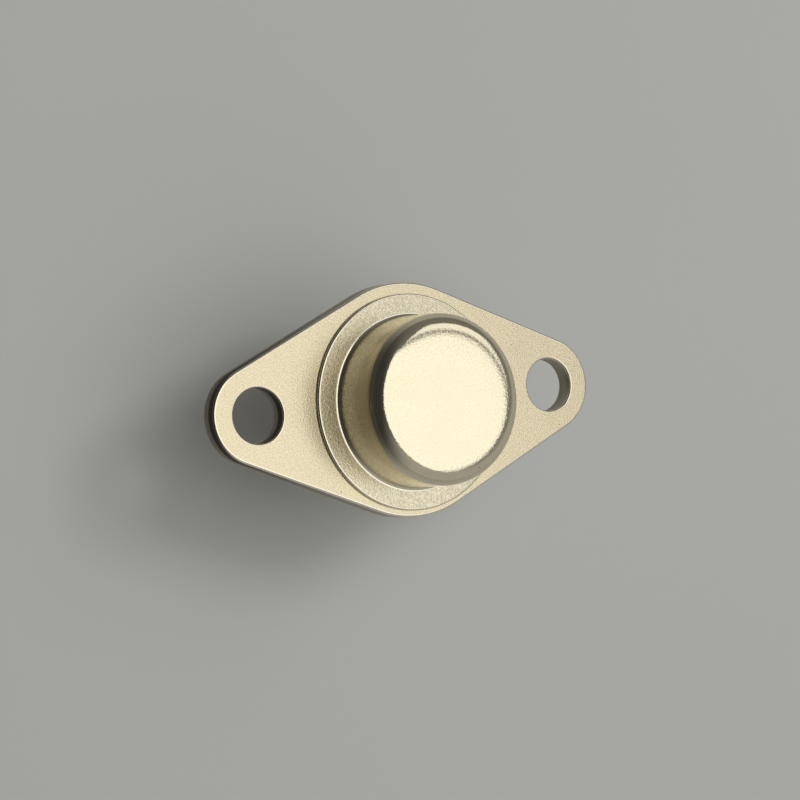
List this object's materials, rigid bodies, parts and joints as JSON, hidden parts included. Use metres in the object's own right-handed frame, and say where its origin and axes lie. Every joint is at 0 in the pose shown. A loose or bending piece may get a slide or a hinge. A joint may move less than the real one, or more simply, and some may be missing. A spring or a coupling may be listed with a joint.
{
  "type": "triac",
  "caption": "Triac in a metal power package: a round welded can on a long flange with a screw hole at each end, and straight round leads below.",
  "frame": {"origin": "centre of the flange's seating face, midway between the two mounting holes", "axes": "+Z out of the seating face through the cap, +X along the line of the mounting holes away from the lead line, +Y along the line of the two leads towards the main terminal 1 lead"},
  "size_m": [0.0312, 0.0166, 0.0181],
  "materials": {
    "nickel_plated_flange": "satin",
    "nickel_plated_cap": "satin",
    "tinned_wire": "satin",
    "bead_glass": "gloss",
    "copper": "satin",
    "braze": "satin",
    "solder": "satin",
    "silicon": "gloss",
    "varnish": "gloss",
    "clip_strip": "satin"
  },
  "bodies": {
    "root": {"header_flange": "nickel_plated_flange", "cap": "nickel_plated_cap", "mt1_lead": "tinned_wire", "gate_lead": "tinned_wire", "mt1_glass_bead": "bead_glass", "gate_glass_bead": "bead_glass", "heat_spreader": "copper", "spreader_braze": "braze", "die_attach_solder": "solder", "triac_chip": "silicon", "junction_coating": "varnish", "mt1_clip": "clip_strip", "gate_clip": "clip_strip", "mt1_contact_solder": "solder", "gate_contact_solder": "solder", "mt1_post_solder": "solder", "gate_post_solder": "solder"}
  },
  "joints": []
}
